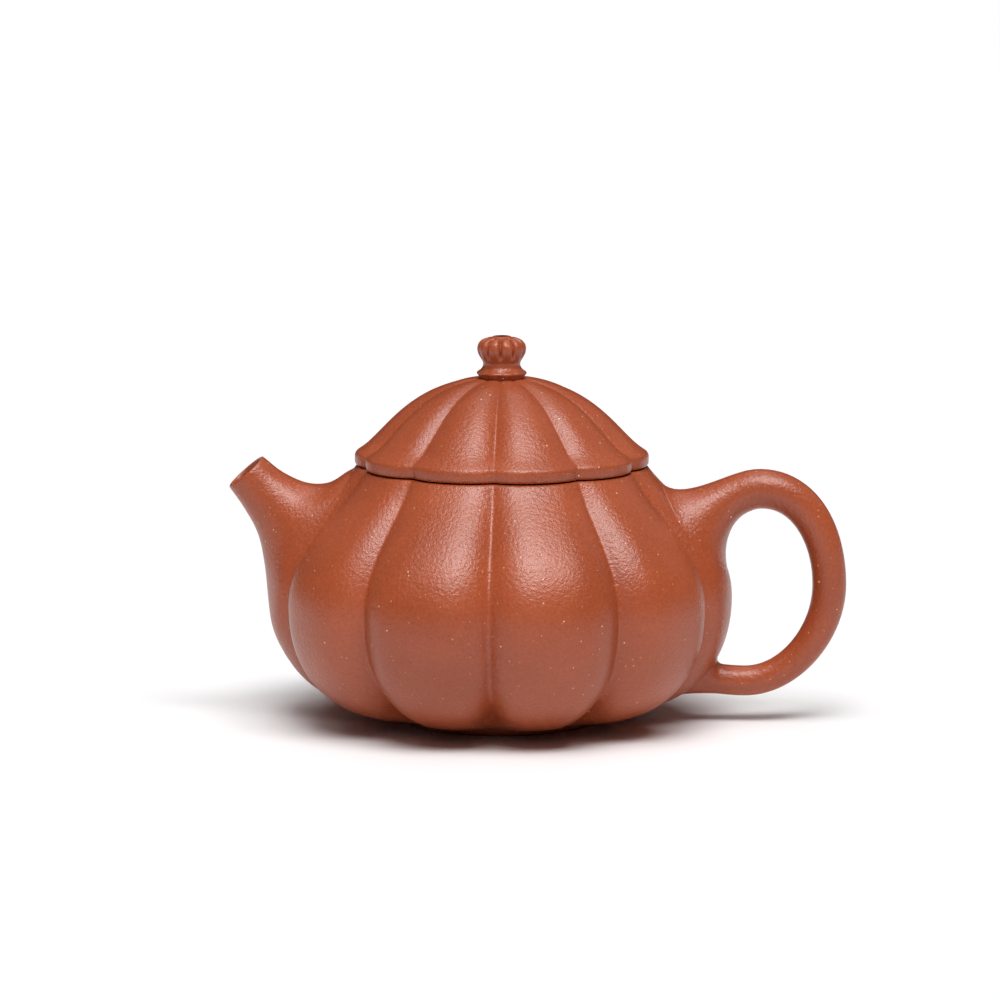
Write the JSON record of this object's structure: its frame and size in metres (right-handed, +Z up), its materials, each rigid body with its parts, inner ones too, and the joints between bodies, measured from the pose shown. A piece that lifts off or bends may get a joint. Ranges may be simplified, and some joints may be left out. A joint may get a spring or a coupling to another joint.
{
  "type": "lobed clay teapot",
  "caption": "Small unglazed clay teapot with a lobed body, short spout with inner strainer, loop handle and lift-off domed lid with a vented bud knob.",
  "frame": {"origin": "centre of the base disc's underside, on the surface that the pot stands on", "axes": "+Z up along the body's axis, +X towards the handle, -X towards the spout"},
  "size_m": [0.1457, 0.1058, 0.0914],
  "materials": {
    "body_clay": "satin unglazed",
    "spout_clay": "satin unglazed",
    "handle_clay": "satin unglazed",
    "lid_clay": "satin unglazed",
    "knob_clay": "satin unglazed"
  },
  "bodies": {
    "pot": {"body_wall": "body_clay", "base_disc": "body_clay", "mouth_ring": "body_clay", "spout": "spout_clay", "strainer": "spout_clay", "handle": "handle_clay"},
    "lid_lifter": {"lid_flange": "lid_clay"},
    "lid": {"lid_plate": "lid_clay", "lid_dome": "lid_clay", "knob_collar": "knob_clay", "knob_bud": "knob_clay"}
  },
  "joints": [
    {"name": "lid_lift", "type": "slide", "parent": "pot", "child": "lid_lifter", "axis": [0, 0, 1], "range_m": [0, 0.06]},
    {"name": "lid_turn", "type": "hinge", "parent": "lid_lifter", "child": "lid", "pos_m": [0, 0, 0.0612], "axis": [0, 0, 1], "continuous": true}
  ]
}
